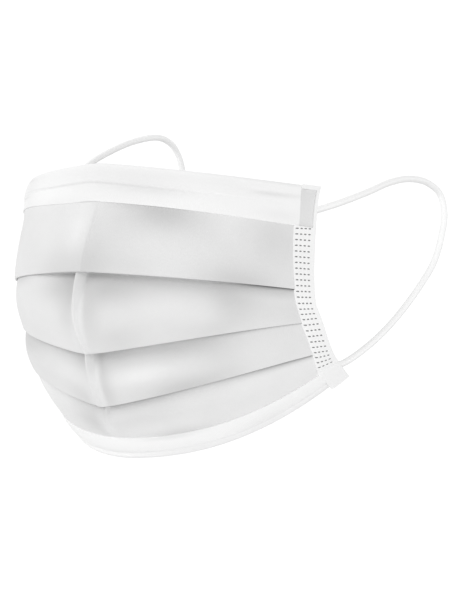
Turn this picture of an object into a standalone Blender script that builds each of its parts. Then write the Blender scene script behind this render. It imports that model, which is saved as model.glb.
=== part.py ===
# A pleated surgical face mask in its worn form, with two ear loops.
# Metres, +Z up. The mask faces -Y and +X is the wearer's left.
# The origin is the spot inside the nose band that rests on the bridge of the nose.
import bpy
import numpy as np

for old in list(bpy.data.objects):
    bpy.data.objects.remove(old)

MM = 0.001

# Driving sizes
HALF_WIDTH = 62.5 * MM      # centre line to a side corner, across
HALF_ARC = 95.0 * MM        # the same along the cloth
FACE_DEPTH = 54.0 * MM      # top of the centre line back to a side corner
CENTRE_DROP = 110.0 * MM    # top edge down to the chin edge, at the centre line
CLOTH = 1.0 * MM            # wall of the cloth
GAP = 0.3 * MM              # room between pieces and between folded layers
CORD = 2.6 * MM             # thickness of an ear loop
TAPE_SHARE = 0.100          # share of a half width that a side tape covers
WINDOW_SHARE = 0.080        # the same at the window in its top corner
FORWARD_SHARE = 0.5         # share of a panel's height in which it comes forward below its fold
TUCK_CENTRE = 3.5 * MM      # how far a pleat is tucked up, at the centre line
TUCK_SIDE = 6.5 * MM        # and at the side
NOSE_INNER = 10.0 * MM      # leg of the nose band inside the mask
CHANNEL_TOP = 3.2 * MM      # raised channel of the nose band, down from the top edge
CHANNEL_FOOT = 8.8 * MM
WIRE_WIDTH = 2.9 * MM
WIRE_SHARE = 0.56           # share of the half width that the wire reaches
LIP = 2.0 * MM              # rim over the window of a side tape
RIM = 1.3 * MM              # rim beside it
TAPE_TAIL = 1.5 * MM        # how far a side tape passes the chin edge
NOSE_SEAT_DROP = 5.0 * MM   # the origin, down from the top edge
PINCH_RISE = 0.6 * MM       # pinched crease down the centre line
PINCH_WIDTH = 1.2 * MM

PITCH = CLOTH + GAP
STACK = 3 * CLOTH + 2 * GAP
BEND = CLOTH + GAP / 2      # outer radius of a pleat edge

# Rows of the worn face from top to chin. The columns are centre y, centre z, side x, side y, side z,
# half-way z, handle, turn at the centre, turn at the side, and how far the cloth below the row lifts at
# the centre and at the cheek. y is a share of FACE_DEPTH, z of CENTRE_DROP downwards, x of HALF_WIDTH,
# the handle is a share of the chord, turns are in degrees and lifts in mm.
ROWS = {
    "top":    (0.000, 0.000, 1.000, 1.008, 0.080, 0.040, 0.43, 10, 73, 0.0, 0.0),
    "crease": (-0.082, 0.069, 1.001, 0.958, 0.143, 0.112, 0.43, 10, 73, 0.0, 0.0),
    "seam":   (-0.084, 0.132, 0.997, 0.944, 0.221, 0.172, 0.46, 10, 72, 0.2, 0.0),
    "fold1":  (-0.230, 0.362, 1.012, 0.893, 0.431, 0.389, 0.41, 10, 75, 1.6, 0.4),
    "fold2":  (-0.140, 0.633, 1.005, 1.022, 0.531, 0.568, 0.43, 10, 75, 0.3, 0.0),
    "fold3":  (0.043, 0.812, 1.000, 1.177, 0.633, 0.709, 0.46, 11, 80, 1.2, 0.0),
    "hem":    (0.214, 0.923, 0.987, 1.307, 0.675, 0.853, 0.41, 14, 71, 0.0, 0.0),
    "bottom": (0.323, 1.000, 0.961, 1.502, 0.724, 0.926, 0.38, 14, 68, 0.0, 0.0),
}
ROW_NAMES = list(ROWS)
UNITS = (FACE_DEPTH, -CENTRE_DROP, HALF_WIDTH, FACE_DEPTH, -CENTRE_DROP, -CENTRE_DROP,
         1.0, np.pi / 180, np.pi / 180, MM, MM)
TABLE = np.array(list(ROWS.values())) * UNITS
STEPS = np.hypot(np.diff(TABLE[:, 0]), np.diff(TABLE[:, 1]))
RUN = np.concatenate([[0.0], np.cumsum(STEPS)])    # way down the centre line to each row
ROW_AT = dict(zip(ROW_NAMES, RUN))
FULL_RUN = RUN[-1]

# Ways across, as shares of a half width: close together at the centre crease and at the side
ARC_SHARE = 0.968           # where the panel ends, inside the bend of the side tape
BAND_SHARE = 1 - TAPE_SHARE - GAP / HALF_ARC
HALF_WAYS = np.array([0.0, 0.014, 0.04, 0.09, 0.17, 0.27, 0.38, 0.49, 0.60, 0.70, 0.80])


def across(*ends):
    half = np.concatenate([HALF_WAYS, ends])
    return np.concatenate([-half[:0:-1], half])


def row_values(run):
    """The table's columns at a way down the centre line, by a smooth curve through the rows."""
    slope = np.diff(TABLE, axis=0) / STEPS[:, None]
    tangent = np.empty_like(TABLE)
    weight = STEPS[:-1, None] + STEPS[1:, None]
    tangent[1:-1] = (slope[:-1] * STEPS[1:, None] + slope[1:] * STEPS[:-1, None]) / weight
    tangent[0] = slope[0]
    tangent[-1] = slope[-1]
    inside = np.clip(run, 0, FULL_RUN)
    k = np.clip(np.searchsorted(RUN, inside, side="right") - 1, 0, len(RUN) - 2)
    step = STEPS[k][..., None]
    t = (inside - RUN[k])[..., None] / step
    value = ((2 * t**3 - 3 * t**2 + 1) * TABLE[k] + (t**3 - 2 * t**2 + t) * step * tangent[k]
             + (3 * t**2 - 2 * t**3) * TABLE[k + 1] + (t**3 - t**2) * step * tangent[k + 1])
    end = np.where((run > FULL_RUN)[..., None], tangent[-1], tangent[0])
    value = value + (run - inside)[..., None] * end
    return np.moveaxis(value, -1, 0), k, t[..., 0]


def plain_face(way, run):
    """The outer face without lift: way runs -1 to 1 across, run goes down the centre line."""
    way, run = np.broadcast_arrays(np.asarray(way, float), np.asarray(run, float))
    columns = row_values(run)[0]
    yc, zc, xs, ys, zs, zh, handle, turn_c, turn_s = columns[:9]
    w = np.abs(way)
    soft = 0.03
    t = (np.sqrt(w**2 + soft**2) - soft) / (np.sqrt(1 + soft**2) - soft)
    reach = handle * np.hypot(xs, ys - yc)
    x1 = reach * np.cos(turn_c)
    y1 = yc + reach * np.sin(turn_c)
    x2 = xs - reach * np.cos(turn_s)
    y2 = ys - reach * np.sin(turn_s)
    x = 3 * w * (1 - w)**2 * x1 + 3 * w**2 * (1 - w) * x2 + w**3 * xs
    y = (1 - t)**3 * yc + 3 * t * (1 - t)**2 * y1 + 3 * t**2 * (1 - t) * y2 + t**3 * ys
    z = zc + (4 * zh - zs - 3 * zc) * t + (2 * zs + 2 * zc - 4 * zh) * t**2
    return np.stack([np.sign(way) * x, y, z], -1)


def lift(way, run):
    """How far the cloth stands out of the plain face: a bulge below each fold and the centre pinch."""
    way, run = np.broadcast_arrays(np.asarray(way, float), np.asarray(run, float))
    _, k, t = row_values(run)
    w = np.clip(np.abs(way), 0, 1)
    centre = (1 - w) * (1 - w / 0.55)
    cheek = w * (1 - w) / (0.55 * 0.45)
    bulge = (TABLE[k, 9] * centre + TABLE[k, 10] * cheek) * 4 * t * (1 - t)
    start = np.clip((run - ROW_AT["seam"]) / (8 * MM), 0, 1)
    stop = np.clip((ROW_AT["hem"] - run) / (5 * MM), 0, 1)
    pinch = PINCH_RISE * np.exp(-(w * HALF_ARC / PINCH_WIDTH)**2) * start * stop
    return bulge + pinch


def face(way, run, depth):
    """A spot at a depth behind the outer face, and 0 is the outer face itself."""
    way, run, depth = np.broadcast_arrays(
        np.asarray(way, float), np.asarray(run, float), np.asarray(depth, float))
    side = 0.004
    down = 0.4 * MM
    u = plain_face(way + side, run) - plain_face(way - side, run)
    v = plain_face(way, run + down) - plain_face(way, run - down)
    normal = np.cross(v, u)
    normal /= np.linalg.norm(normal, axis=-1, keepdims=True)
    return plain_face(way, run) + normal * (lift(way, run) - depth)[..., None]


def squeeze(way, run):
    """Real length per length down the centre line, here."""
    down = 0.5 * MM
    step = plain_face(way, run + down) - plain_face(way, run - down)
    return np.linalg.norm(step, axis=-1) / (2 * down)


ORIGIN = face(0.0, NOSE_SEAT_DROP, STACK)


def material(name, colour, roughness):
    made = bpy.data.materials.new(name)
    made.use_nodes = True
    shader = made.node_tree.nodes["Principled BSDF"]
    shader.inputs["Base Color"].default_value = (*colour, 1.0)
    shader.inputs["Roughness"].default_value = roughness
    return made


GREY_CLOTH = material("grey_cloth", (0.66, 0.66, 0.66), 0.9)
WHITE_CLOTH = material("white_cloth", (0.88, 0.88, 0.88), 0.85)
WIRE_METAL = material("wire_metal", (0.75, 0.75, 0.76), 0.35)
LOOP_ELASTIC = material("loop_elastic", (0.90, 0.90, 0.89), 0.8)


def mesh_object(name, points, faces, look):
    mesh = bpy.data.meshes.new(name)
    mesh.from_pydata(points.reshape(-1, 3).tolist(), [], faces)
    mesh.materials.append(look)
    mesh.update()
    made = bpy.data.objects.new(name, mesh)
    bpy.context.collection.objects.link(made)
    return made


def strip(name, rails, look):
    """A closed solid from a ribbon. rails has the shape (slices, stations, 2, 3): each slice holds the
    stations of the ribbon, each with its outer and its inner spot."""
    slices, stations = rails.shape[:2]
    loop = np.concatenate([rails[:, :, 0], rails[:, ::-1, 1]], axis=1) - ORIGIN
    around = loop.shape[1]
    faces = []
    for i in range(slices - 1):
        for j in range(around):
            a = i * around + j
            b = i * around + (j + 1) % around
            faces.append((a, a + around, b + around, b))
    last = (slices - 1) * around
    for j in range(stations - 1):
        k = around - 1 - j
        faces.append((j, j + 1, k - 1, k))
        faces.append((last + k, last + k - 1, last + j + 1, last + j))
    corners = loop.reshape(-1, 3)
    first = np.array([corners[f[0]] for f in faces])
    volume = 0.0
    for f, a in zip(faces, first):
        volume += np.dot(a, np.cross(corners[f[1]], corners[f[2]]))
        volume += np.dot(a, np.cross(corners[f[2]], corners[f[3]]))
    if volume < 0:
        faces = [f[::-1] for f in faces]
    return mesh_object(name, corners, faces, look)


def block(name, way0, way1, run0, run1, depth0, depth1, look):
    """A hidden cutter that follows the face."""
    ways = np.linspace(way0, way1, 4)
    runs = np.linspace(run0, run1, 6)
    w, r = np.meshgrid(ways, runs, indexing="ij")
    rails = np.stack([face(w, r, depth0), face(w, r, depth1)], axis=2)
    made = strip(name, rails, look)
    made.hide_render = True
    made.hide_set(True)
    return made


def panel_depth(run, part):
    """Depth of the outer face of one panel, 0 to 3 from the top, behind the plain face."""
    if part == 0:
        t = np.clip((run - ROW_AT["seam"] - GAP) / (9 * MM), 0, 1)
        return PITCH * (1 - t)**2 * (1 + 2 * t)
    top = ROW_AT[f"fold{part}"]
    foot = ROW_AT["hem"] if part == 3 else ROW_AT[f"fold{part + 1}"]
    rest = PITCH if part == 3 else 0.0
    t = np.clip((run - top) / (FORWARD_SHARE * (foot - top)), 0, 1)
    return rest + (2 * PITCH - rest) * (1 - t)**2


def panel_rails(ways):
    """The one sheet of the panel with its three pleats, station by station."""
    tuck = TUCK_CENTRE + (TUCK_SIDE - TUCK_CENTRE) * ways**2
    stations = []

    def add(run_out, depth_out, run_in, depth_in):
        stations.append((run_out, depth_out, run_in, depth_in))

    def bend(run, part, middle, outer, inner, upward):
        """Half a turn of the sheet about a line at this run and depth."""
        scale = squeeze(ways, run)
        for angle in np.radians([0, 50, 90, 130, 180]):
            along = np.sin(angle) * (-1 if upward else 1) / scale
            away = -np.cos(angle)
            run_out = run + outer * along
            run_in = run + inner * along
            add(run_out, panel_depth(run, part) + middle + outer * away,
                run_in, panel_depth(run, part) + middle + inner * away)

    scale_top = squeeze(ways, STACK / 2)
    start = (STACK / 2) / scale_top
    bottom = FULL_RUN - (STACK / 2) / squeeze(ways, FULL_RUN - STACK / 2)
    for part in range(4):
        top = start if part == 0 else ROW_AT[f"fold{part}"] + 0 * ways
        if part < 3:
            edge = ROW_AT[f"fold{part + 1}"]
            foot = edge - BEND / squeeze(ways, edge - BEND)
        else:
            foot = bottom
        marks = {0: (0.0, 0.18, 0.33, 0.48, 0.64, 0.82), 1: (0.0, 0.15, 0.33, 0.53, 0.76),
                 2: (0.0, 0.18, 0.42, 0.70), 3: (0.0, 0.22, 0.45, 0.64, 1.0)}[part]
        for share in marks:
            run = top + (foot - top) * share
            depth = panel_depth(run, part)
            add(run, depth, run, depth + CLOTH)
        if part == 3:
            break
        bend(foot, part, BEND, BEND, GAP / 2, upward=False)
        size = squeeze(ways, foot - tuck / 2)
        high = foot - tuck / size
        run = (foot + high) / 2
        depth = panel_depth(run, part)
        add(run, depth + 2 * CLOTH + GAP, run, depth + PITCH)
        bend(high, part, 2 * CLOTH + 1.5 * GAP, GAP / 2, BEND, upward=True)
        depth = panel_depth(run, part) + 2 * PITCH
        add(run, depth, run, depth + CLOTH)
    values = np.array([[np.broadcast_to(v, ways.shape) for v in s] for s in stations])
    values = np.moveaxis(values, -1, 0)
    outer = face(ways[:, None], values[..., 0], values[..., 1])
    inner = face(ways[:, None], values[..., 2], values[..., 3])
    return np.stack([outer, inner], axis=2)


def band_rails(ways, edge, foot_outer, foot_inner, raised):
    """A strip folded over an edge of the mask. edge is 0 for the top or FULL_RUN for the chin."""
    sign = 1 if edge == 0 else -1
    radius = STACK / 2
    turn = edge + sign * radius / squeeze(ways, edge + sign * radius)
    fade = np.clip((0.78 - np.abs(ways)) / 0.16, 0, 1)
    rise = (CLOTH - 0.1 * MM + GAP) * fade**2 * (3 - 2 * fade)
    outer = [(foot_outer + 0 * ways, 0 * ways)]
    if raised:
        for run, share in ((CHANNEL_FOOT, 0.0), (CHANNEL_FOOT - 0.9 * MM, 1.0), ((CHANNEL_TOP + CHANNEL_FOOT) / 2, 1.06),
                           (CHANNEL_TOP + 0.8 * MM, 1.0), (CHANNEL_TOP, 0.0)):
            outer.append((run + 0 * ways, -rise * share))
    else:
        outer.append(((foot_outer + turn) / 2, 0 * ways))
    inner = [(run, depth + CLOTH) for run, depth in outer]
    for angle in np.radians([0, 45, 90, 135, 180]):
        along = -sign * np.sin(angle) / squeeze(ways, edge + sign * radius)
        away = -np.cos(angle)
        outer.append((turn + radius * along, radius + radius * away))
        inner.append((turn + (radius - CLOTH) * along, radius + (radius - CLOTH) * away))
    for share in (0.5, 1.0):
        run = turn + (foot_inner - turn) * share
        outer.append((run, STACK + 0 * ways))
        inner.append((run, STACK - CLOTH + 0 * ways))

    def laid(spots):
        spots = np.array([[np.broadcast_to(v, ways.shape) for v in s] for s in spots])
        spots = np.moveaxis(spots, -1, 0)
        return face(ways[:, None], spots[..., 0], spots[..., 1])

    return np.stack([laid(outer), laid(inner)], axis=2)


def tape_rails(side):
    """A side tape: a strip folded round the ends of all the layers."""
    radius = STACK / 2 + PITCH
    runs = [0.15 * MM, LIP, 5 * MM, ROW_AT["crease"], 11 * MM, ROW_AT["seam"] + GAP]
    runs += list(np.linspace(ROW_AT["seam"] + 4 * MM, ROW_AT["fold1"], 5))
    for upper, lower in (("fold1", "fold2"), ("fold2", "fold3"), ("fold3", "hem")):
        runs += list(np.linspace(ROW_AT[upper], ROW_AT[lower], 5)[1:])
    runs += [FULL_RUN, FULL_RUN + TAPE_TAIL]
    runs = np.array(runs)
    outer = [(1 - TAPE_SHARE, -PITCH)]
    inner = [(1 - TAPE_SHARE, -PITCH + CLOTH)]
    for angle in np.radians([0, 35, 70, 110, 145, 180]):
        out = np.sin(angle)
        away = -np.cos(angle)
        outer.append((ARC_SHARE + radius * out / HALF_ARC, STACK / 2 + radius * away))
        inner.append((ARC_SHARE + (radius - CLOTH) * out / HALF_ARC,
                      STACK / 2 + (radius - CLOTH) * away))
    outer.append((1 - TAPE_SHARE, STACK + PITCH))
    inner.append((1 - TAPE_SHARE, STACK + PITCH - CLOTH))

    def laid(spots):
        spots = np.array(spots)
        return face(side * spots[None, :, 0], runs[:, None], spots[None, :, 1])

    return np.stack([laid(outer), laid(inner)], axis=2)


def cut(target, cutter):
    change = target.modifiers.new("cut", "BOOLEAN")
    change.operation = "DIFFERENCE"
    change.solver = "EXACT"
    change.object = cutter


strip("face_panel", panel_rails(across(1 - TAPE_SHARE, ARC_SHARE)), GREY_CLOTH)
strip("nose_band", band_rails(across(BAND_SHARE), 0, ROW_AT["seam"], NOSE_INNER, True), WHITE_CLOTH)
strip("chin_band", band_rails(across(BAND_SHARE), FULL_RUN, ROW_AT["hem"],
                              ROW_AT["hem"] + 0.8 * MM, False), WHITE_CLOTH)

# Nose wire: a flat strip between the panel and the raised channel
wire_ways = HALF_WAYS[HALF_WAYS < WIRE_SHARE - 0.03]
wire_ways = np.concatenate([-wire_ways[:0:-1], wire_ways])
wire_ways = np.concatenate([[-WIRE_SHARE], wire_ways, [WIRE_SHARE]])
wire_run = (CHANNEL_TOP + CHANNEL_FOOT) / 2
wire_rails = np.stack([
    np.stack([face(wire_ways, wire_run + WIRE_WIDTH * share, depth) for depth in
              (PITCH - GAP - 0.9 * MM, PITCH - GAP)], axis=1) for share in (-0.5, 0.5)], axis=1)
strip("nose_wire", wire_rails, WIRE_METAL)

for side, name in ((1, "left"), (-1, "right")):
    tape = strip(f"side_tape_{name}", tape_rails(side), WHITE_CLOTH)
    window_edge = 1 - WINDOW_SHARE
    rim = 1 - RIM / HALF_ARC
    window = block(f"window_cutter_{name}", side * (1 - TAPE_SHARE - 0.03), side * rim,
                   LIP, ROW_AT["seam"] + GAP, -PITCH - 1.5 * MM, -GAP / 2, WHITE_CLOTH)
    step = block(f"step_cutter_{name}", side * (1 - TAPE_SHARE - 0.03), side * window_edge,
                 -3 * MM, ROW_AT["seam"] + GAP, -PITCH - 2 * MM, STACK + PITCH + 2 * MM, WHITE_CLOTH)
    cut(tape, window)
    cut(tape, step)

# Ear loops: welds under the tapes as (way, run), then the routes in mm from the top of the centre line
LOOP_WELDS = {
    "top": [(0.925, ROW_AT["seam"] - 3 * MM), (0.95, ROW_AT["seam"] - 3 * MM)],
    "foot": [(0.955, FULL_RUN - 4.5 * MM), (0.92, FULL_RUN - 2.5 * MM)],
}
ROUTES = {
    "left": [(57.6, 58.5, -17.6), (62.5, 69, -14.6), (66.5, 84, -10.4), (69, 98, -6.5), (71.3, 110.5, -4.9),
             (73.6, 122, -6.3), (75.4, 130, -10.9), (76, 132.5, -18.6), (75.6, 131, -26.6),
             (74, 127.5, -37.1), (71, 120, -47.3), (66, 108, -60), (61.5, 95, -69.4), (56.0, 83.5, -76.0)],
    "right": [(-56.8, 58.5, -15.6), (-60.2, 70, -6.6), (-62, 85, 2.4), (-59, 96, 7.9), (-55, 108, 12.4),
              (-50, 118, 14.2), (-48.5, 126, 11.9), (-48, 131, 7.4), (-47.5, 134, -0.1), (-47, 134, -12.6),
              (-49, 130, -29.6), (-53, 121, -45.6), (-57, 108, -59.6), (-58.5, 95, -69.1),
              (-56.0, 83.5, -76.0)],
}


def smooth_route(points, spacing):
    """Even points on a smooth curve through the given ones."""
    points = np.array(points)
    chord = np.linalg.norm(np.diff(points, axis=0), axis=1)
    knots = np.concatenate([[0.0], np.cumsum(np.sqrt(chord))])
    tangent = np.gradient(points, knots, axis=0, edge_order=1)
    fine = np.linspace(0, knots[-1], 1200)
    k = np.clip(np.searchsorted(knots, fine, side="right") - 1, 0, len(knots) - 2)
    step = (knots[k + 1] - knots[k])[:, None]
    t = (fine - knots[k])[:, None] / step
    curve = ((2 * t**3 - 3 * t**2 + 1) * points[k] + (t**3 - 2 * t**2 + t) * step * tangent[k]
             + (3 * t**2 - 2 * t**3) * points[k + 1] + (t**3 - t**2) * step * tangent[k + 1])
    length = np.concatenate([[0.0], np.cumsum(np.linalg.norm(np.diff(curve, axis=0), axis=1))])
    even = np.linspace(0, length[-1], int(round(length[-1] / spacing)) + 1)
    return np.stack([np.interp(even, length, curve[:, axis]) for axis in range(3)], axis=1), length[-1]


for side, name in ((1, "left"), (-1, "right")):
    weld_depth = STACK + PITCH + GAP + CORD / 2
    first = [face(side * way, run, weld_depth) for way, run in LOOP_WELDS["top"]]
    final = [face(side * way, run, weld_depth) for way, run in LOOP_WELDS["foot"]]
    route = first + [np.array(spot) * MM for spot in ROUTES[name]] + final
    spots, length = smooth_route(route, 2.4 * CORD)
    print(name, "loop", round(length / MM, 1), "mm,", len(spots), "points")
    curve = bpy.data.curves.new(f"ear_loop_{name}", "CURVE")
    curve.dimensions = "3D"
    curve.bevel_depth = CORD / 2
    curve.bevel_resolution = 2
    curve.use_fill_caps = True
    spline = curve.splines.new("POLY")
    spline.points.add(len(spots) - 1)
    spline.points.foreach_set("co", np.hstack([spots - ORIGIN, np.ones((len(spots), 1))]).ravel())
    curve.materials.append(LOOP_ELASTIC)
    loop = bpy.data.objects.new(f"ear_loop_{name}", curve)
    bpy.context.collection.objects.link(loop)

print("origin from the top of the centre line, mm:", np.round(ORIGIN / MM, 2))
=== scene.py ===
import bpy
import numpy as np
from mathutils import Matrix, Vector


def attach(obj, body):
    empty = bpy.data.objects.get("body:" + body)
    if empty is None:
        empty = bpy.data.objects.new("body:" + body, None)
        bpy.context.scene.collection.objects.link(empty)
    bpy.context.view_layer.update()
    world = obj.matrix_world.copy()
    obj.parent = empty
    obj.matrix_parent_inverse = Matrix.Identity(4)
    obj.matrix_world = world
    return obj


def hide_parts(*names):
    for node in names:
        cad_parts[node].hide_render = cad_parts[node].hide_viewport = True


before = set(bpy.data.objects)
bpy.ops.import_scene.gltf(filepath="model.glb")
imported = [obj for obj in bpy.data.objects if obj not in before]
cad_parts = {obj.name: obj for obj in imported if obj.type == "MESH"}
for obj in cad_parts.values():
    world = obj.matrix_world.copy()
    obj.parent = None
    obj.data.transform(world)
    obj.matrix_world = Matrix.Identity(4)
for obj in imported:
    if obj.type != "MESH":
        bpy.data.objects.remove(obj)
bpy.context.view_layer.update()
print("frame loaded:", len(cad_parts), "CAD nodes")

mm = 0.001
sides = ((1, "left"), (-1, "right"))

# The worn face of the mask, as in the CAD. Each row: centre y, centre z, side x, side y, side z,
# half-way z, handle, turn at the centre and at the side in degrees, bulge at the centre and cheek in mm.
# y is a share of depth, z of drop downwards, x of halfWidth, handle of the distance from centre to side.
# The bulge follows a parabola from the centre's, through the cheek's at cheekWay, to none at the side.
faceShape = {
    "halfWidth": 62.5 * mm,
    "halfArc": 95.0 * mm,
    "depth": 54.0 * mm,
    "drop": 110.0 * mm,
    "wall": 1.0 * mm,
    "gap": 0.3 * mm,
    "centreSoft": 0.03,
    "cheekWay": 0.55,
    "rows": {
        "top":    (0.000, 0.000, 1.000, 1.008, 0.080, 0.040, 0.43, 10, 73, 0.0, 0.0),
        "crease": (-0.082, 0.069, 1.001, 0.958, 0.143, 0.112, 0.43, 10, 73, 0.0, 0.0),
        "seam":   (-0.084, 0.132, 0.997, 0.944, 0.221, 0.172, 0.46, 10, 72, 0.2, 0.0),
        "fold1":  (-0.230, 0.362, 1.012, 0.893, 0.431, 0.389, 0.41, 10, 75, 1.6, 0.4),
        "fold2":  (-0.140, 0.633, 1.005, 1.022, 0.531, 0.568, 0.43, 10, 75, 0.3, 0.0),
        "fold3":  (0.043, 0.812, 1.000, 1.177, 0.633, 0.709, 0.46, 11, 80, 1.2, 0.0),
        "hem":    (0.214, 0.923, 0.987, 1.307, 0.675, 0.853, 0.41, 14, 71, 0.0, 0.0),
        "bottom": (0.323, 1.000, 0.961, 1.502, 0.724, 0.926, 0.38, 14, 68, 0.0, 0.0),
    },
}

pitch = faceShape["wall"] + faceShape["gap"]
stack = 3 * faceShape["wall"] + 2 * faceShape["gap"]
rowUnits = (faceShape["depth"], -faceShape["drop"], faceShape["halfWidth"], faceShape["depth"],
            -faceShape["drop"], -faceShape["drop"], 1.0, np.pi / 180, np.pi / 180, mm, mm)
rowTable = np.array(list(faceShape["rows"].values())) * rowUnits
rowSteps = np.hypot(np.diff(rowTable[:, 0]), np.diff(rowTable[:, 1]))
rowRuns = np.concatenate([[0.0], np.cumsum(rowSteps)])
rowAt = dict(zip(faceShape["rows"], rowRuns))
fullRun = rowRuns[-1]

def smooth(low, high, value):
    # 3t^2 - 2t^3 between two values
    t = np.clip((value - low) / (high - low), 0, 1)
    return t * t * (3 - 2 * t)

def hermite(points, tangent, k, t, step):
    # (2t^3-3t^2+1)*point + (t^3-2t^2+t)*step*slope + (3t^2-2t^3)*next point + (t^3-t^2)*step*next slope
    return ((2 * t**3 - 3 * t**2 + 1) * points[k] + (t**3 - 2 * t**2 + t) * step * tangent[k]
            + (3 * t**2 - 2 * t**3) * points[k + 1] + (t**3 - t**2) * step * tangent[k + 1])

def rowValues(run):
    # a Hermite curve through the rows, straight past the first and the last
    slope = np.diff(rowTable, axis=0) / rowSteps[:, None]
    tangent = np.empty_like(rowTable)
    weight = rowSteps[:-1, None] + rowSteps[1:, None]
    tangent[1:-1] = (slope[:-1] * rowSteps[1:, None] + slope[1:] * rowSteps[:-1, None]) / weight
    tangent[0], tangent[-1] = slope[0], slope[-1]
    inside = np.clip(run, 0, fullRun)
    k = np.clip(np.searchsorted(rowRuns, inside, side="right") - 1, 0, len(rowRuns) - 2)
    step = rowSteps[k][..., None]
    t = (inside - rowRuns[k])[..., None] / step
    value = hermite(rowTable, tangent, k, t, step)
    end = np.where((run > fullRun)[..., None], tangent[-1], tangent[0])
    value = value + (run - inside)[..., None] * end
    return np.moveaxis(value, -1, 0), k, t[..., 0]

def plainFace(way, run):
    # way -1..1 across: a cubic from the centre to the side in x and y, a parabola through three heights in z
    way, run = np.broadcast_arrays(np.asarray(way, float), np.asarray(run, float))
    yc, zc, xs, ys, zs, zh, handle, turnC, turnS = rowValues(run)[0][:9]
    w = np.abs(way)
    soft = faceShape["centreSoft"]
    t = (np.sqrt(w**2 + soft**2) - soft) / (np.sqrt(1 + soft**2) - soft)
    reach = handle * np.hypot(xs, ys - yc)
    x1, y1 = reach * np.cos(turnC), yc + reach * np.sin(turnC)
    x2, y2 = xs - reach * np.cos(turnS), ys - reach * np.sin(turnS)
    x = 3 * w * (1 - w)**2 * x1 + 3 * w**2 * (1 - w) * x2 + w**3 * xs
    y = (1 - t)**3 * yc + 3 * t * (1 - t)**2 * y1 + 3 * t**2 * (1 - t) * y2 + t**3 * ys
    z = zc + (4 * zh - zs - 3 * zc) * t + (2 * zs + 2 * zc - 4 * zh) * t**2
    return np.stack([np.sign(way) * x, y, z], -1)

# Soft waves of the worn cloth by panel: way, share of the panel's height, spread of each, rise in mm
clothWaves = {
    0: [(0.42, 0.62, 0.22, 0.35, 0.7), (0.07, 0.60, 0.06, 0.40, -0.35), (0.72, 0.35, 0.10, 0.25, -0.6),
        (-0.35, 0.55, 0.22, 0.30, 0.3)],
    1: [(0.34, 0.48, 0.24, 0.28, 0.8), (0.07, 0.60, 0.05, 0.35, -0.30), (0.74, 0.30, 0.10, 0.30, -0.4),
        (-0.35, 0.50, 0.20, 0.30, 0.3)],
    2: [(0.24, 0.52, 0.13, 0.24, 0.8), (0.52, 0.45, 0.12, 0.30, -0.4), (-0.28, 0.50, 0.14, 0.30, 0.3)],
    3: [(0.48, 0.50, 0.16, 0.30, 0.5), (0.16, 0.60, 0.08, 0.30, -0.3)],
}

# The pinched welt down the middle, by panel: middle, half width and rise in mm, each at the panel's top,
# half way and foot
middleWelt = {
    0: ((1.5, 0.2, 0.1), (1.0, 1.0, 1.0), (0.25, 0.45, 0.40)),
    1: ((-1.5, -1.7, 0.1), (1.00, 0.70, 0.45), (0.60, 0.60, 0.50)),
    2: ((-1.2, -0.3, -0.3), (0.75, 0.95, 1.2), (0.55, 0.45, 0.30)),
    3: ((0.6, 0.3, 0.0), (1.0, 1.0, 1.0), (0.15, 0.20, 0.00)),
}

# How far the welt takes to fade, in mm: to the left on the top panel and on the others, and to the right,
# inside and outside its half width
weltFade = {"topLeft": 26, "left": 0.6, "right": (0.6, 0.3)}

def standOut(way, run):
    # bulge 4t(1-t) below each row, bell-shaped waves, and the welt: flat-topped with soft sides
    way, run = np.broadcast_arrays(np.asarray(way, float), np.asarray(run, float))
    _, k, t = rowValues(run)
    w = np.clip(np.abs(way), 0, 1)
    cheekWay = faceShape["cheekWay"]
    centre = (1 - w) * (1 - w / cheekWay)
    cheek = w * (1 - w) / (cheekWay * (1 - cheekWay))
    out = (rowTable[k, 9] * centre + rowTable[k, 10] * cheek) * 4 * t * (1 - t)
    for part, waves in clothWaves.items():
        inPart = (k == part + 2) * (4 * t * (1 - t))
        for spotWay, spotDown, wide, high, rise in waves:
            out = out + inPart * rise * mm * np.exp(-((way - spotWay) / wide)**2 - ((t - spotDown) / high)**2)
    aside = way * faceShape["halfArc"] / mm
    for part, marks in middleWelt.items():
        middle, half, rise = (np.interp(t, (0, 0.5, 1), mark) for mark in marks)
        far = aside - middle
        if part == 0:
            left = smooth(-weltFade["topLeft"], 0, far)
        else:
            left = 1 - smooth(half, half + weltFade["left"], -far)
        right = 1 - smooth(half - weltFade["right"][0], half + weltFade["right"][1], far)
        out = out + (k == part + 2) * rise * mm * left * right
    return out

def faceSpot(way, run, depth):
    # the plain face moved along its normal by the stand-out less the depth
    way, run, depth = np.broadcast_arrays(
        np.asarray(way, float), np.asarray(run, float), np.asarray(depth, float))
    side, down = 0.004, 0.4 * mm
    u = plainFace(way + side, run) - plainFace(way - side, run)
    v = plainFace(way, run + down) - plainFace(way, run - down)
    normal = np.cross(v, u)
    normal /= np.linalg.norm(normal, axis=-1, keepdims=True)
    return plainFace(way, run) + normal * (standOut(way, run) - depth)[..., None]

def squeeze(way, run):
    # real length per length down the centre line
    down = 0.5 * mm
    return np.linalg.norm(plainFace(way, run + down) - plainFace(way, run - down), axis=-1) / (2 * down)

noseSeat = faceSpot(0.0, 5 * mm, stack)

def alongPath(points):
    # length along each column of points
    step = np.linalg.norm(np.diff(points, axis=0), axis=-1)
    return np.concatenate([np.zeros((1,) + step.shape[1:]), np.cumsum(step, axis=0)])

def flatPlaces(grid):
    # mm along the cloth: across from the centre column, down from the first row
    across = alongPath(grid[grid.shape[0] // 2])
    across = across - across[grid.shape[1] // 2]
    down = alongPath(grid)
    return np.stack([np.broadcast_to(across, down.shape), down], -1) / mm

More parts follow.
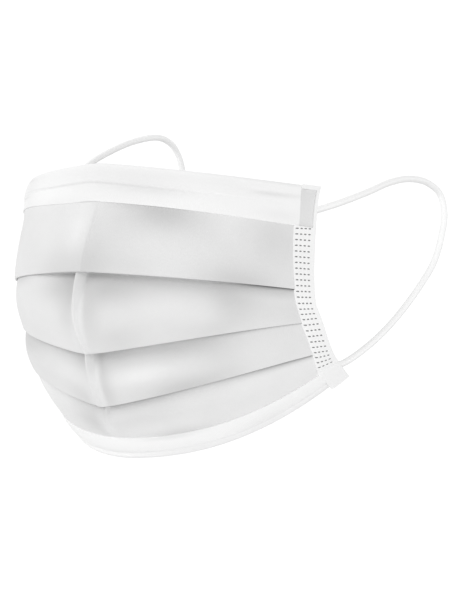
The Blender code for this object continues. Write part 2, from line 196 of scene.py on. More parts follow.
def meshPiece(name, points, faces, places, toneAndShade):
    # a smooth mesh of four-sided faces with its UV map in mm and the cloth's tone with its painted shade at each
    # point
    mesh = bpy.data.meshes.new(name)
    mesh.vertices.add(len(points))
    mesh.vertices.foreach_set("co", points.ravel())
    mesh.loops.add(faces.size)
    mesh.loops.foreach_set("vertex_index", faces.ravel())
    mesh.polygons.add(len(faces))
    mesh.polygons.foreach_set("loop_start", np.arange(len(faces)) * 4)
    uv = mesh.uv_layers.new(name="flat")
    uv.uv.foreach_set("vector", places[faces.ravel()].ravel())
    mesh.attributes.new("toneAndShade", "FLOAT", "POINT").data.foreach_set("value", toneAndShade)
    mesh.update(calc_edges=True)
    mesh.shade_smooth()
    mesh.set_sharp_from_angle(angle=np.radians(50))
    made = bpy.data.objects.new(name, mesh)
    bpy.context.scene.collection.objects.link(made)
    return made

def sheetSolid(name, outer, inner, places, keep=None, toneAndShade=None):
    # two grids of points, front and back of the cloth, with a wall along every open edge; keep says which
    # cells of the grid are cloth
    rows, columns = outer.shape[:2]
    if keep is None:
        keep = np.ones((rows - 1, columns - 1), bool)
    index = np.arange(rows * columns).reshape(rows, columns)
    a, b, c, d = index[:-1, :-1], index[:-1, 1:], index[1:, 1:], index[1:, :-1]
    half = rows * columns
    framed = np.pad(keep, 1)
    faces = [np.stack([a, b, c, d], -1)[keep], np.stack([d, c, b, a], -1)[keep] + half]
    for (up, left), p, q in (((0, 1), a, b), ((2, 1), c, d), ((1, 2), b, c), ((1, 0), d, a)):
        openSide = keep & ~framed[up:up + rows - 1, left:left + columns - 1]
        p, q = p[openSide], q[openSide]
        faces.append(np.stack([q, p, p + half, q + half], -1))
    faces = np.concatenate(faces)
    points = np.concatenate([outer.reshape(-1, 3), inner.reshape(-1, 3)]) - noseSeat
    # the faces are turned round if they point inwards, where the volume a*(b x c) of their triangles is negative
    volume = sum((corners[:, 0] * np.cross(corners[:, 1], corners[:, 2])).sum()
                 for corners in (points[faces[:, [0, 1, 2]]], points[faces[:, [0, 2, 3]]]))
    if volume < 0:
        faces = faces[:, ::-1]
    used, faces = np.unique(faces, return_inverse=True)
    places = np.concatenate([places.reshape(-1, 2)] * 2)
    if toneAndShade is None:
        toneAndShade = np.ones(half)
    toneAndShade = np.concatenate([toneAndShade.ravel()] * 2)
    return meshPiece(name, points[used], faces.reshape(-1, 4), places[used], toneAndShade[used])

def grey(level):
    return (level, level, level, 1.0)

# Shader maths: a value knows its look, so sums and products add Math nodes
class Value:
    def __init__(self, look, socket):
        self.look, self.socket = look, socket

    def maths(self, operation, *inputs):
        return self.look.node("ShaderNodeMath", {"operation": operation}, dict(enumerate(inputs)))[0]

    def __add__(self, other):
        return self.maths("ADD", self, other)

    def __sub__(self, other):
        return self.maths("SUBTRACT", self, other)

    def __rsub__(self, other):
        return self.maths("SUBTRACT", other, self)

    def __mul__(self, other):
        return self.maths("MULTIPLY", self, other)

    def __truediv__(self, other):
        return self.maths("DIVIDE", self, other)

    __radd__ = __add__
    __rmul__ = __mul__

    def __abs__(self):
        return self.maths("ABSOLUTE", self)

    def __pow__(self, other):
        return self.maths("POWER", self, other)

    def fract(self):
        return self.maths("FRACT", self)

    def between(self, low, high):
        # 0 at low, 1 at high, smooth
        return self.look.node("ShaderNodeMapRange", {"interpolation_type": "SMOOTHSTEP"},
                              {0: self, 1: low, 2: high, 3: 0.0, 4: 1.0})[0]

class Look:
    def __init__(self, name):
        self.material = bpy.data.materials.new(name)
        self.material.use_nodes = True
        self.tree = self.material.node_tree
        self.shader = self.tree.nodes["Principled BSDF"]

    def node(self, kind, settings, sockets):
        made = self.tree.nodes.new(kind)
        for key, setting in settings.items():
            setattr(made, key, setting)
        self.fill(made, sockets)
        return [Value(self, out) for out in made.outputs if out.enabled]

    def fill(self, made, sockets):
        for key, given in sockets.items():
            if isinstance(given, Value):
                self.tree.links.new(given.socket, made.inputs[key])
            else:
                made.inputs[key].default_value = given

    def place(self):
        return self.node("ShaderNodeTexCoord", {}, {})[3]

    def flatPlace(self):
        flat = self.node("ShaderNodeUVMap", {"uv_map": "flat"}, {})[0]
        return self.node("ShaderNodeSeparateXYZ", {}, {0: flat})

    def noise(self, scale, detail, rough):
        sockets = {"Vector": self.place(), "Scale": scale, "Detail": detail, "Roughness": rough}
        return self.node("ShaderNodeTexNoise", {}, sockets)[0]

    def blend(self, amount, first, second):
        return self.node("ShaderNodeMix", {"data_type": "RGBA"}, {0: amount, 6: first, 7: second})[0]

    def bump(self, height, distance, strength):
        sockets = {"Height": height, "Distance": distance, "Strength": strength}
        return self.node("ShaderNodeBump", {}, sockets)[0]

    def withPaintedShade(self, colour):
        # the cloth's tone with its painted shade, 0 to 1, from black to the full colour
        toneAndShade = self.node("ShaderNodeAttribute", {"attribute_name": "toneAndShade"}, {})[2]
        return self.blend(toneAndShade, grey(0.0), colour)

    def finish(self, **sockets):
        self.fill(self.shader, {key.replace("_", " "): given for key, given in sockets.items()})
        return self.material

# The camera at the photo's angle: 30 degrees towards +X and 2 degrees up
cameraPlace = {
    "at": (0.4298, -0.63255, -0.01949),
    "aim": (0.0211, 0.05475, -0.04579),
    "lens": 125.7,
}
cameraData = bpy.data.cameras.new("camera")
camera = bpy.data.objects.new("camera", cameraData)
bpy.context.scene.collection.objects.link(camera)
camera.location = cameraPlace["at"]
camera.rotation_euler = (Vector(cameraPlace["aim"]) - camera.location).to_track_quat("-Z", "Y").to_euler()
cameraData.lens = cameraPlace["lens"]
cameraData.clip_start = 0.01
bpy.context.scene.camera = camera
print("camera placed")

# Ear loops: round knitted cords
earLoops = {
    "cord": 2.6 * mm,
    "welds": {  # way and run
        "top": [(0.925, rowAt["seam"] - 3 * mm), (0.95, rowAt["seam"] - 3 * mm)],
        "foot": [(0.955, fullRun - 4.5 * mm), (0.92, fullRun - 2.5 * mm)],
    },
    "spacing": 0.35 * mm,  # from ring to ring
    "around": 44,  # points in a ring
    "ribs": 22,
    "ribRise": 0.01 * mm,
    "ribTurn": 16 * mm,  # length of one turn of the ribs
    "under": (0.52, 0.30, -0.80),  # direction of the painted shade on the cord's underside
    "shadeEdge": (0.3, 0.95),  # how far towards it the painted shade starts and is full
    # how much darker the painted shade makes it
    "undersideShade": 0.15,
    "knitRows": 1.4,  # for each mm
    "knitSlant": 2.0,
    "knitColumns": 18.0,
    "shades": (0.98, 0.90),  # light and dark
    "routes": {  # mm from the top of the centre line
        "left": [(57.6, 58.5, -17.6), (62.5, 69, -14.6), (66.5, 84, -10.4), (69, 98, -6.5),
                 (71.3, 110.5, -4.9), (73.6, 122, -6.3), (75.4, 130, -10.9), (76, 132.5, -18.6),
                 (75.6, 131, -26.6), (74, 127.5, -37.1), (71, 120, -47.3), (66, 108, -60),
                 (61.5, 95, -69.4), (56.0, 83.5, -76.0)],
        "right": [(-56.8, 58.5, -15.6), (-60.2, 70, -6.6), (-62, 85, 2.4), (-59, 96, 7.9), (-55, 108, 12.4),
                  (-50, 118, 14.2), (-48.5, 126, 11.9), (-48, 131, 7.4), (-47.5, 134, -0.1),
                  (-47, 134, -12.6), (-49, 130, -29.6), (-53, 121, -45.6), (-57, 108, -59.6),
                  (-58.5, 95, -69.1), (-56.0, 83.5, -76.0)],
    },
}

def smoothRoute(points, spacing):
    # Hermite curve through the points, sampled evenly
    points = np.array(points)
    chord = np.linalg.norm(np.diff(points, axis=0), axis=1)
    knots = np.concatenate([[0.0], np.cumsum(np.sqrt(chord))])
    tangent = np.gradient(points, knots, axis=0, edge_order=1)
    fine = np.linspace(0, knots[-1], 6000)
    k = np.clip(np.searchsorted(knots, fine, side="right") - 1, 0, len(knots) - 2)
    step = (knots[k + 1] - knots[k])[:, None]
    t = (fine - knots[k])[:, None] / step
    curve = hermite(points, tangent, k, t, step)
    length = alongPath(curve)
    even = np.linspace(0, length[-1], int(round(length[-1] / spacing)) + 1)
    return np.stack([np.interp(even, length, curve[:, axis]) for axis in range(3)], axis=1)

def carriedFrames(path):
    # two directions across the path, turned as little as possible from ring to ring
    along = np.gradient(path, axis=0)
    along /= np.linalg.norm(along, axis=1, keepdims=True)
    across = [np.cross(along[0], (0.0, 0.0, 1.0))]
    for direction in along:
        turned = across[-1] - direction * np.dot(across[-1], direction)
        across.append(turned / np.linalg.norm(turned))
    across = np.array(across[1:])
    return across, np.cross(along, across)

def knitCord(name, path):
    # ring point = path + size*(cos, sin); size = radius + rib rise*(the higher of two crossing helices - 1)
    columns = earLoops["around"]
    across, up = carriedFrames(path)
    angle = (np.arange(columns) * 2 * np.pi / columns)[None, :]
    along = alongPath(path)[:, None]
    turn = 2 * np.pi * along / earLoops["ribTurn"]
    ribs = earLoops["ribs"] / 2
    crossing = np.maximum(np.cos(ribs * (angle + turn)), np.cos(ribs * (angle - turn)))
    size = earLoops["cord"] / 2 + earLoops["ribRise"] * (crossing - 1)
    outwards = np.cos(angle)[..., None] * across[:, None, :] + np.sin(angle)[..., None] * up[:, None, :]
    points = path[:, None, :] + size[..., None] * outwards
    # painted shade on the cord's underside, the side turned from the light
    toneAndShade = 1 - earLoops["undersideShade"] * smooth(*earLoops["shadeEdge"], outwards @ np.array(earLoops["under"]))
    toneAndShade = np.concatenate([toneAndShade.ravel(), [1.0, 1.0]])
    rings = len(path)
    index = np.arange(rings * columns).reshape(rings, columns)
    following = np.roll(index, -1, axis=1)
    faces = np.stack([index[:-1], following[:-1], following[1:], index[1:]], -1).reshape(-1, 4)
    # flat ends: one point in the middle of each end ring joins every second pair of ring points
    first = rings * columns
    even = np.arange(0, columns, 2)
    nearCap = np.stack([np.full(len(even), first), index[0][(even + 2) % columns], index[0][even + 1],
                        index[0][even]], -1)
    farCap = np.stack([np.full(len(even), first + 1), index[-1][even], index[-1][even + 1],
                       index[-1][(even + 2) % columns]], -1)
    places = np.stack(np.broadcast_arrays(angle / (2 * np.pi), along / mm), -1).reshape(-1, 2)
    places = np.concatenate([places, [[0.5, 0.0], [0.5, along[-1, 0] / mm]]])
    points = np.concatenate([points.reshape(-1, 3), path[[0, -1]]])
    return meshPiece(name, points, np.concatenate([faces, nearCap, farCap]), places, toneAndShade)

elasticLook = Look("loopElastic")
around, along = elasticLook.flatPlace()[:2]
knitRow = abs((along * earLoops["knitRows"] + around * earLoops["knitSlant"]).fract() - 0.5) * 2.0
knitColumn = abs((around * earLoops["knitColumns"]).fract() - 0.5) * 2.0
fuzz = elasticLook.noise(1500.0, 3.0, 0.6)
loopLight, loopDark = (grey(shade) for shade in earLoops["shades"])
loopElastic = elasticLook.finish(
    Base_Color=elasticLook.withPaintedShade(
        elasticLook.blend(knitRow * knitColumn * 0.05 + fuzz * 0.05, loopLight, loopDark)),
    Roughness=fuzz * 0.15 + 0.65,
    Normal=elasticLook.bump(knitRow * knitColumn + fuzz * 0.3, 0.00001, 0.1),
    Sheen_Weight=0.2, Sheen_Roughness=0.5, Specular_IOR_Level=0.25)

weldDepth = stack + pitch + faceShape["gap"] + earLoops["cord"] / 2
for side, name in sides:
    top, foot = (np.array([faceSpot(side * way, run, weldDepth) for way, run in earLoops["welds"][end]])
                 for end in ("top", "foot"))
    route = np.concatenate([top, np.array(earLoops["routes"][name]) * mm, foot])
    path = smoothRoute(route, earLoops["spacing"]) - noseSeat
    loop = knitCord(f"earLoop_{name}", path)
    loop.data.materials.append(loopElastic)
    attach(loop, "root")
    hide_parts(f"ear_loop_{name}")
print("ear loops made")

# Noise of the fibres (scale, detail, roughness), pitch of the bond points in mm, and the cloth's soft shine
fibreNoise = (2600.0, 4.0, 0.7)
bondPitch = 0.9
softShine = {"Sheen_Weight": 0.12, "Sheen_Roughness": 0.6, "Specular_IOR_Level": 0.2}

def clothLook(name, light, dark, bondBump):
    # nonwoven cloth: small bond points in a staggered grid, fibres and soft cloudiness
    look = Look(name)
    across, down = look.flatPlace()[:2]
    u = (((across + down) / bondPitch).fract() - 0.5) * 2.0
    v = (((across - down) / bondPitch).fract() - 0.5) * 2.0
    bond = 1.0 - (u * u + v * v).between(0.12, 0.45)
    fibre = look.noise(*fibreNoise)
    cloud = look.noise(60.0, 3.0, 0.5).between(0.3, 0.75)
    return look.finish(
        Base_Color=look.withPaintedShade(look.blend(cloud * 0.4 + bond * 0.12 + fibre * 0.3, grey(light), grey(dark))),
        Roughness=bond * -0.15 + 0.85,
        Normal=look.bump(fibre * 0.5 - bond, bondBump, 0.6), **softShine)

greyCloth = clothLook("greyCloth", 0.95, 0.88, 0.00005)
whiteCloth = clothLook("whiteCloth", 0.99, 0.97, 0.00004)

# The panel: one sheet with three pleats
panelSheet = {
    "thick": 0.4 * mm,
    "columns": (22, 72),  # on each side, at the welt and past it
    "panelRows": 31,
    "edgeRows": 9,
    "tuckRows": 7,
    "underBand": 0.42 * mm,  # how deep it lies under the bands
    "underRun": 9 * mm,  # how far it takes to come forward below the nose band
    "underWays": (0.918, 0.936),  # where it leaves the nose band
    "hemRun": 6 * mm,  # how far it takes to go under the chin band
    "endLift": 0.17 * mm,  # how far its end stands forward inside the tape
    "endWays": (0.962, 0.976),
    "endWay": 0.984,
    "forwardShare": (0.5, 0.80, 0.70, 0.5),  # share of each panel over which it comes forward
    "tuckCentre": 3.5 * mm,
    "tuckSide": 6.5 * mm,
    "edgeRadius": 0.42 * mm,
    "turnRadius": 0.15 * mm,
    "sideFlat": 0.45,  # how much flatter the folds are at the sides
    "flatWays": (0.76, 0.90),
    "weltHalf": 1.1 * mm,  # a pleat stays shut this near the welt
    # how far each pleat stands open in the middle in mm, and the ways over which that starts and ends
    "opening": {1: (4.6, -0.34, 0.04, 0.45, 0.85), 2: (3.8, -0.55, -0.10, 0.25, 0.75),
                3: (1.8, -0.60, -0.20, 0.30, 0.90)},
    "toneAndShade": (0.87, 0.865, 0.865, 0.90),
    # how dark the painted shadow line along each fold is on the right and on the left, and the ways over which
    # it grows
    "foldShadowLine": ((0.75, 0.00, 0.55, 0.85), (0.40, 0.65, 0.05, 0.40), (0.75, 0.90, 0.00, 0.15)),
    # how far below each fold the painted shadow line fades out
    "shadowRun": 1.3 * mm,
}

# Painted shade on the panel's cloth by panel: way, share down the panel, spread left, right and down, darker by.
# The shade is painted under each fold and beside the welt, where shadow falls; a negative amount is a painted
# highlight
paintedPanelShade = {
    0: [(0.02, 0.60, 0.012, 0.17, 0.60, 0.12), (-0.03, 1.00, 0.22, 0.15, 0.35, 0.18),
        (0.27, 0.04, 0.14, 0.17, 0.30, 0.28), (0.78, 0.22, 0.09, 0.20, 0.38, 0.10),
        (0.66, 1.00, 0.20, 0.16, 0.28, 0.22), (0.58, 0.14, 0.08, 0.06, 0.25, -0.04),
        (-0.03, 0.42, 0.05, 0.02, 0.30, -0.06), (0.14, 0.00, 0.09, 0.10, 0.07, 0.10),
        (0.20, 0.90, 0.10, 0.10, 0.18, 0.06)],
    1: [(-0.04, 0.18, 0.11, 0.02, 0.26, 0.24), (0.022, 0.36, 0.014, 0.055, 0.50, 0.20),
        (0.10, 0.20, 0.06, 0.15, 0.24, 0.24), (0.35, 0.12, 0.20, 0.20, 0.16, 0.08),
        (0.61, 0.26, 0.09, 0.15, 0.30, 0.16), (0.60, 0.62, 0.08, 0.12, 0.28, 0.10),
        (0.85, 0.10, 0.12, 0.12, 0.14, 0.12), (0.13, 0.85, 0.09, 0.11, 0.25, 0.12),
        (-0.05, 0.55, 0.05, 0.02, 0.25, 0.10), (0.78, 0.00, 0.14, 0.20, 0.07, 0.26),
        (-0.15, 0.20, 0.12, 0.08, 0.14, 0.09), (0.76, 0.10, 0.15, 0.14, 0.10, 0.08),
        (0.50, 0.92, 0.18, 0.14, 0.22, 0.09), (0.86, 0.60, 0.17, 0.12, 0.45, 0.07),
        (-0.45, 0.02, 0.14, 0.14, 0.10, 0.14)],
    2: [(-0.46, 0.20, 0.20, 0.20, 0.36, 0.18), (-0.03, 0.10, 0.13, 0.015, 0.22, 0.22),
        (0.04, 0.16, 0.012, 0.12, 0.24, 0.20), (0.33, 0.22, 0.24, 0.22, 0.22, 0.13),
        (0.03, 0.62, 0.010, 0.03, 0.50, 0.17), (0.15, 0.54, 0.09, 0.13, 0.16, -0.09),
        (-0.06, 0.88, 0.08, 0.03, 0.25, 0.12), (0.30, 0.97, 0.15, 0.20, 0.20, 0.22),
        (0.50, 0.50, 0.14, 0.12, 0.50, 0.08), (0.56, 0.00, 0.14, 0.16, 0.08, 0.22),
        (-0.25, 0.04, 0.18, 0.14, 0.09, 0.16), (0.025, 0.10, 0.022, 0.015, 0.18, 0.17)],
    3: [(-0.06, 0.35, 0.11, 0.035, 0.50, 0.18), (0.12, 0.12, 0.13, 0.20, 0.26, 0.13),
        (0.00, 0.10, 0.05, 0.06, 0.20, 0.16), (0.74, 0.04, 0.28, 0.30, 0.10, 0.36),
        (-0.45, 0.50, 0.12, 0.12, 0.80, -0.06), (0.14, 0.48, 0.24, 0.26, 0.22, 0.07),
        (-0.005, 0.70, 0.015, 0.02, 0.25, -0.08), (0.25, 1.00, 0.12, 0.15, 0.14, 0.15)],
}

def paintedShadeSpots(shadeSpots, ways, share):
    # each painted shade spot is a bell, exp(-(way/spread)^2 - (down/spread)^2), with its own spread to the left
    # and right
    toneAndShade = 1.0
    for spotWay, spotDown, left, right, high, amount in shadeSpots:
        spread = np.where(ways < spotWay, left, right)
        bell = np.exp(-((ways - spotWay) / spread)**2 - ((share - spotDown) / high)**2)
        toneAndShade = toneAndShade * (1 - amount * bell)
    return toneAndShade + 0 * ways

def pleatedGrids(ways):
    # stations down the sheet, each a run and a depth of its front and back
    flat = 1 - panelSheet["sideFlat"] * smooth(*panelSheet["flatWays"], np.abs(ways))
    thick, edgeRadius, turnRadius = (panelSheet[key] * flat for key in ("thick", "edgeRadius", "turnRadius"))
    tuck = panelSheet["tuckCentre"] + (panelSheet["tuckSide"] - panelSheet["tuckCentre"]) * ways**2
    weltTop = {part: marks[0][0] * mm for part, marks in middleWelt.items()}
    stations, tonesAndShades = [], []

    def foldDepth(part):
        rise, low0, low1, high0, high1 = panelSheet["opening"][part]
        inside = smooth(low0, low1, ways) * (1 - smooth(high0, high1, ways))
        onWelt = np.exp(-((ways * faceShape["halfArc"] - weltTop[part]) / panelSheet["weltHalf"])**2)
        return 2 * edgeRadius + 2 * turnRadius + rise * mm * inside * (1 - onWelt)

    def panelDepth(run, part):
        # a panel comes forward below its fold as (1-t)^2, and the top one below the band as (1-t)^2*(1+2t)
        if part == 0:
            t = np.clip((run - rowAt["seam"]) / panelSheet["underRun"], 0, 1)
            under = 1 - smooth(*panelSheet["underWays"], np.abs(ways))
            end = panelSheet["endLift"] * smooth(*panelSheet["endWays"], np.abs(ways))
            return panelSheet["underBand"] * (1 - t)**2 * (1 + 2 * t) * under - end
        top = rowAt[f"fold{part}"]
        foot = rowAt["hem"] if part == 3 else rowAt[f"fold{part + 1}"]
        t = np.clip((run - top) / (panelSheet["forwardShare"][part] * (foot - top)), 0, 1)
        rest = panelSheet["underBand"] * smooth(foot - panelSheet["hemRun"], foot, run) if part == 3 else 0.0
        return rest + foldDepth(part) * (1 - t)**2

    lines = [rowAt[row] for row in ("seam", "fold1", "fold2", "fold3", "hem")]

    def add(run, depth, runBack, depthBack, part, inFoldShadow=0.0, line=0):
        # one station; its tone is the painted soft shade, less the painted shadow line along fold number line
        stations.append([np.broadcast_to(given, ways.shape) for given in (run, depth, runBack, depthBack)])
        share = np.clip((run - lines[part]) / (lines[part + 1] - lines[part]), 0, 1)
        toneAndShade = panelSheet["toneAndShade"][part] * paintedShadeSpots(paintedPanelShade[part], ways, share)
        right, left, from0, from1 = panelSheet["foldShadowLine"][line]
        amount = right * smooth(from0, from1, ways) + left * smooth(from0, from1, -ways)
        tonesAndShades.append(toneAndShade * (1 - inFoldShadow * amount))

    def turn(run, middle, front, back, upward, count, part):
        # half a circle of the sheet about a line; the half that turns under is painted into the fold's shadow
        # line
        scale = squeeze(ways, run) * (-1 if upward else 1)
        for angle in np.linspace(0, np.pi, count):
            add(run + front * np.sin(angle) / scale, middle - front * np.cos(angle),
                run + back * np.sin(angle) / scale, middle - back * np.cos(angle), part,
                smooth(0.25 * np.pi, 0.5 * np.pi, angle), part)

    start = (stack / 2) / squeeze(ways, stack / 2)
    bottom = fullRun - (stack / 2) / squeeze(ways, fullRun - stack / 2)
    for part in range(4):
        top = start if part == 0 else rowAt[f"fold{part}"]
        foot = bottom
        if part < 3:
            edge = rowAt[f"fold{part + 1}"]
            foot = edge - edgeRadius / squeeze(ways, edge)
        for share in np.linspace(0, 1, panelSheet["panelRows"])[:None if part == 3 else -1]:
            run = top + (foot - top) * share
            add(run, panelDepth(run, part), run, panelDepth(run, part) + thick, part,
                np.clip(1 - (run - top) / panelSheet["shadowRun"], 0, 1) * (part > 0), part - 1)
        if part == 3:
            break
        turn(foot, edgeRadius, edgeRadius, edgeRadius - thick, False, panelSheet["edgeRows"], part)
        high = foot - tuck / squeeze(ways, foot - tuck / 2)
        deep = foldDepth(part + 1)
        # the hidden tuck is painted fully into the fold's shadow line
        for share in np.linspace(0, 1, panelSheet["tuckRows"])[1:-1]:
            depth = 2 * edgeRadius + (deep - 2 * turnRadius - 2 * edgeRadius) * share
            add(foot + (high - foot) * share, depth, foot + (high - foot) * share, depth - thick, part, 1.0)
        turn(high, deep - turnRadius, turnRadius, turnRadius + thick, True, panelSheet["tuckRows"], part)
        for share in np.linspace(0, 1, panelSheet["tuckRows"])[1:-1]:
            run = high + (edge - high) * share
            add(run, deep, run, deep + thick, part + 1)
    run, depth, runBack, depthBack = np.moveaxis(np.array(stations), 1, 0)
    return faceSpot(ways, run, depth), faceSpot(ways, runBack, depthBack), np.array(tonesAndShades)

# The welt and the creases beside it lie within this way of the middle
weltWay = 0.05

def evenWays(end, fine, wide):
    # columns close together at the welt, wider towards the sides, the same to the left and right
    half = np.concatenate([np.linspace(0, weltWay, fine), np.linspace(weltWay, end, wide)[1:]])
    return np.concatenate([-half[:0:-1], half])

outer, inner, toneAndShade = pleatedGrids(evenWays(panelSheet["endWay"], *panelSheet["columns"]))
facePanel = sheetSolid("facePanel", outer, inner, flatPlaces(outer), toneAndShade=toneAndShade)
facePanel.data.materials.append(greyCloth)
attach(facePanel, "root")
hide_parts("face_panel")

# Nose band and chin band: strips folded over the edges
bands = {
    "thick": 0.4 * mm,
    "columns": (10, 90),  # on each side, at the welt and past it
    "rows": (47, 17, 14),  # of the outer leg, the edge and the inner leg
    "endWay": 0.9215,
    "slant": 0.016,  # how far the nose band's ends lean inwards
    "farShort": 2.3 * mm,  # how much narrower the nose band is at its far end
    "farWays": (0.05, 0.55),
    "toneAndShade": 0.955,
    "noseLeg": 10.0 * mm,
    "chinLeg": 0.8 * mm,
    "channelRise": 0.55 * mm,
    "channelWays": (0.52, 0.78),  # where the wire's channel fades out
    "channelRuns": (0.5 * mm, 6 * mm),  # where it rises
    "channelEdge": 0.6 * mm,  # how far it takes to drop
    "creaseEnd": 0.25,  # share of a crease over which it fades at either end
    "chinPuff": 0.30 * mm,
    "chinGroove": 0.40 * mm,
    "chinGrooveAt": 0.70,
    "chinGrooveHalf": 0.09,
}

# Small creases of the nose band: way and run in mm at both ends, half width in mm, rise in mm
bandCreases = [
    (0.66, 5.0, 0.92, 5.9, 0.8, -0.16),
    (0.74, 8.6, 0.90, 9.2, 0.7, -0.10),
    (-0.66, 3.0, -0.52, 1.6, 0.6, -0.35),
    (-0.66, 9.5, -0.54, 11.5, 0.8, -0.30),
]

# Painted shade on the bands, spots as for the panel: a painted shadow along the fine crease at the channel's
# foot, painted shade over the middle, and a faint painted highlight along the nose band's top edge
paintedBandShade = {
    "nose": [(0.14, 0.60, 0.30, 0.24, 0.45, 0.12), (-0.05, 0.565, 0.40, 0.42, 0.024, 0.12),
             (-0.15, 1.00, 0.30, 0.25, 0.16, 0.05), (-0.45, 0.50, 0.12, 0.10, 0.60, 0.06),
             (0.26, 0.62, 0.18, 0.16, 0.09, 0.06), (0.78, 0.38, 0.10, 0.16, 0.07, 0.10),
             (0.84, 0.85, 0.14, 0.10, 0.14, 0.06), (0.30, 0.00, 0.70, 0.60, 0.10, -0.05),
             (0.70, 0.55, 0.20, 0.20, 0.25, 0.02), (-0.50, 0.20, 0.05, 0.05, 0.05, 0.12),
             (-0.52, 0.70, 0.10, 0.07, 0.04, 0.12)],
    "chin": [(0.35, 0.76, 0.40, 0.45, 0.12, 0.05), (0.40, 1.02, 0.28, 0.50, 0.18, 0.11),
             (0.90, 0.95, 0.13, 0.10, 0.16, 0.12), (0.20, 0.05, 0.10, 0.14, 0.10, 0.10),
             (0.60, 0.50, 0.12, 0.14, 0.30, 0.04)],
}

def noseRelief(ways, run):
    # the wire's channel rises slowly from the top edge and drops at the crease; short creases at the ends
    fade = 1 - smooth(*bands["channelWays"], np.abs(ways))
    foot = rowAt["crease"]
    rising = smooth(*bands["channelRuns"], run)
    out = bands["channelRise"] * fade * rising * (1 - smooth(foot - bands["channelEdge"], foot, run))
    end = bands["creaseEnd"]
    for way0, run0, way1, run1, half, rise in bandCreases:
        share = (ways - way0) / (way1 - way0)
        line = run0 + (run1 - run0) * share
        inside = smooth(0, end, share) * (1 - smooth(1 - end, 1, share))
        out = out + rise * mm * inside * np.exp(-((run / mm - line) / half)**2)
    return out

def chinRelief(ways, run):
    # a rounded strip with a shallow groove near its lower edge
    share = (run - rowAt["hem"]) / (fullRun - rowAt["hem"])
    at = bands["chinGrooveAt"]
    return (bands["chinPuff"] * np.sin(np.pi * np.clip(share / at, 0, 1))
            - bands["chinGroove"] * np.exp(-((share - at) / bands["chinGrooveHalf"])**2) + 0.0 * ways)

def bandGrids(ways, edge, footOuter, footInner, relief, shadeSpots):
    # the outer leg, half a turn over the edge and the inner leg
    thick = bands["thick"]
    outerRows, edgeRows, innerRows = bands["rows"]
    sign = 1 if edge == 0 else -1
    radius = stack / 2
    scale = squeeze(ways, edge + sign * radius)
    turn = edge + sign * radius / scale
    share = np.linspace(0, 1, outerRows)[:-1, None]
    run1 = footOuter + (turn - footOuter) * share
    out1 = relief(ways, run1)
    angle = np.linspace(0, np.pi, edgeRows)[:, None]
    out2 = relief(ways, turn) * np.maximum(np.cos(angle), 0)
    bend = -sign * np.sin(angle) / scale
    share = np.linspace(0, 1, innerRows)[1:, None]
    run3 = turn + (footInner - turn) * share
    runs = np.concatenate([run1, turn + radius * bend, run3])
    runsBack = np.concatenate([run1, turn + (radius - thick) * bend, run3])
    depths = np.concatenate([-out1, radius - radius * np.cos(angle) - out2, stack + 0 * run3])
    depthsBack = np.concatenate([thick - out1, radius - (radius - thick) * np.cos(angle) - out2,
                                 stack - thick + 0 * run3])
    if edge == 0:
        # the ends slant inwards towards the top edge
        ways = ways * (1 - bands["slant"] * (1 - smooth(0, rowAt["seam"], runs)) * (depths < radius))
    share = (runs - np.minimum(edge, footOuter)) / np.abs(edge - footOuter)
    toneAndShade = bands["toneAndShade"] * paintedShadeSpots(shadeSpots, ways + 0 * runs, share)
    return faceSpot(ways, runs, depths), faceSpot(ways, runsBack, depthsBack), toneAndShade

bandWays = evenWays(bands["endWay"], *bands["columns"])
noseFoot = rowAt["seam"] - bands["farShort"] * smooth(*bands["farWays"], -bandWays)
for piece, node, edge, foot, leg, relief, shadeSpots in (
        ("noseBand", "nose_band", 0, noseFoot, bands["noseLeg"], noseRelief, "nose"),
        ("chinBand", "chin_band", fullRun, rowAt["hem"], rowAt["hem"] + bands["chinLeg"], chinRelief, "chin")):
    outer, inner, toneAndShade = bandGrids(bandWays, edge, foot, leg, relief, paintedBandShade[shadeSpots])
    band = sheetSolid(piece, outer, inner, flatPlaces(outer), toneAndShade=toneAndShade)
    band.data.materials.append(whiteCloth)
    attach(band, "root")
    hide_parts(node)
print("bands made")

# Side tapes: folded round the ends, with rows of weld dots and a window in the top corner
sideTape = {
    "thick": 0.4 * mm,
    "legColumns": 40,
    "bendColumns": 29,
    "rows": 360,
    "top": 0.1 * mm,
    "middleWay": 0.94,  # where lengths down the tape are measured
    "raise": 0.6 * mm,
    "innerWay": 0.900,
    "windowWay": 0.906,  # the window lies between this
    "rimWay": 0.9785,  # and this
    "bendWay": 0.985,  # where the tape turns round the end
    "bendWide": 1.15 * mm,
    "lip": 2.3 * mm,  # above the window
    "press": 0.42 * mm,  # how deep the inner edge is pressed in
    "pressWide": 0.014,
    "foldRun": 1.2 * mm,  # how far it takes to follow the panel at a fold
    "hemEdge": (0.5 * mm, 0.8 * mm),  # and above and below the hem
    "tail": 0.8 * mm,
    "footNarrow": 0.012,  # how far the inner edge moves out at the foot
    "narrowWays": (0.90, 0.95),
    "dotPitch": (1.72, 2.10),  # mm across and down, as all the dots' places
    "dotHalf": (0.50, 0.25),
    "dotStart": (0.25, 0.00),
    "dotSpread": (26.5, 0.14),  # below this place the rows spread by this share
    "rowSlant": ((0, 25, 40, 55), (0.09, 0.06, -0.02, -0.13)),  # places down the tape, slope of the rows
    "dotCount": (4, 26),
    "dotEdge": (0.55, 1.35),  # u^3 + v^3 where a dot's colour ends, in half sizes
    "dotSlope": (0.4, 1.8),  # and where its dip ends
    "dotDeep": 0.18 * mm,
    "offLeg": 50.0,  # place across for the cloth that has no dots
    "crease": (55.9, 0.35, 0.22),  # line across under the dots: place, half width, depth
    "shades": (0.94, 0.89),  # light and dark
    "dotShade": 0.23,
}

